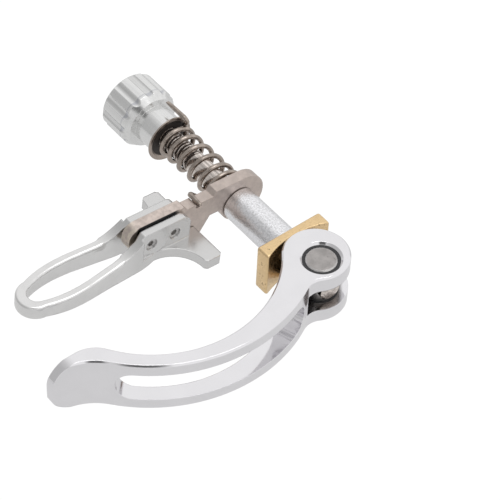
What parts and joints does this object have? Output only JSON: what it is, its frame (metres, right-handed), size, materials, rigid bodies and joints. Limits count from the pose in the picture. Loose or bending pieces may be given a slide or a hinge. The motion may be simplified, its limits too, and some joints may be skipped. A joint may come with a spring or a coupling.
{
  "type": "seatpost clamp",
  "caption": "Quick-release seat clamp for a folding bicycle: cam lever, brass cam block, sleeved bolt, sprung latch plate with a loop handle, and a fluted knob nut.",
  "frame": {"origin": "on the clamp bolt's axis, in the plane of the brass block's clamping face", "axes": "+X along the bolt towards the cam lever, +Z along the lever's pivot, lever and handle reach towards -Y"},
  "size_m": [0.0882, 0.0828, 0.0188],
  "materials": {
    "lever_aluminium": "polished",
    "handle_aluminium": "fine satin",
    "knob_aluminium": "turned satin",
    "block_brass": "satin",
    "sleeve_steel": "matt, finely mottled",
    "plate_steel": "tumbled",
    "spring_steel": "drawn wire",
    "pin_steel": "ground",
    "bolt_steel": "bright",
    "black_bush": "plain"
  },
  "bodies": {
    "sleeve": {"sleeve": "sleeve_steel"},
    "bolt": {"clamp_bolt": "bolt_steel", "barrel_pin": "pin_steel", "spring_cup": "plate_steel"},
    "lever": {"cam_lever": "lever_aluminium", "upper_bush": "black_bush", "lower_bush": "black_bush"},
    "block": {"cam_block": "block_brass"},
    "latch": {"latch_plate": "plate_steel", "handle": "handle_aluminium", "rear_handle_screw": "bolt_steel", "front_handle_screw": "bolt_steel", "spring": "spring_steel"},
    "knob": {"knob_nut": "knob_aluminium"}
  },
  "joints": [
    {"name": "bolt_swivel", "type": "hinge", "parent": "sleeve", "child": "bolt", "pos_m": [0, 0, 0], "axis": [1, 0, 0], "continuous": true},
    {"name": "lever_pivot", "type": "hinge", "parent": "bolt", "child": "lever", "pos_m": [0.01269, 0, 0], "axis": [0, 0, 1], "range_deg": [0, 170]},
    {"name": "block_slide", "type": "slide", "parent": "bolt", "child": "block", "axis": [1, 0, 0], "range_m": [0, 0.0014]},
    {"name": "latch_hinge", "type": "hinge", "parent": "sleeve", "child": "latch", "pos_m": [-0.0208, 0, 0], "axis": [1, 0, 0], "range_deg": [-45, 15], "stiffness_Nm_per_rad": 0.08},
    {"name": "knob_turn", "type": "hinge", "parent": "bolt", "child": "knob", "pos_m": [-0.06, 0, 0], "axis": [1, 0, 0], "continuous": true}
  ],
  "couplings": [
    {"joint": "block_slide", "follows": "lever_pivot", "m_per_rad": 0.00045}
  ]
}
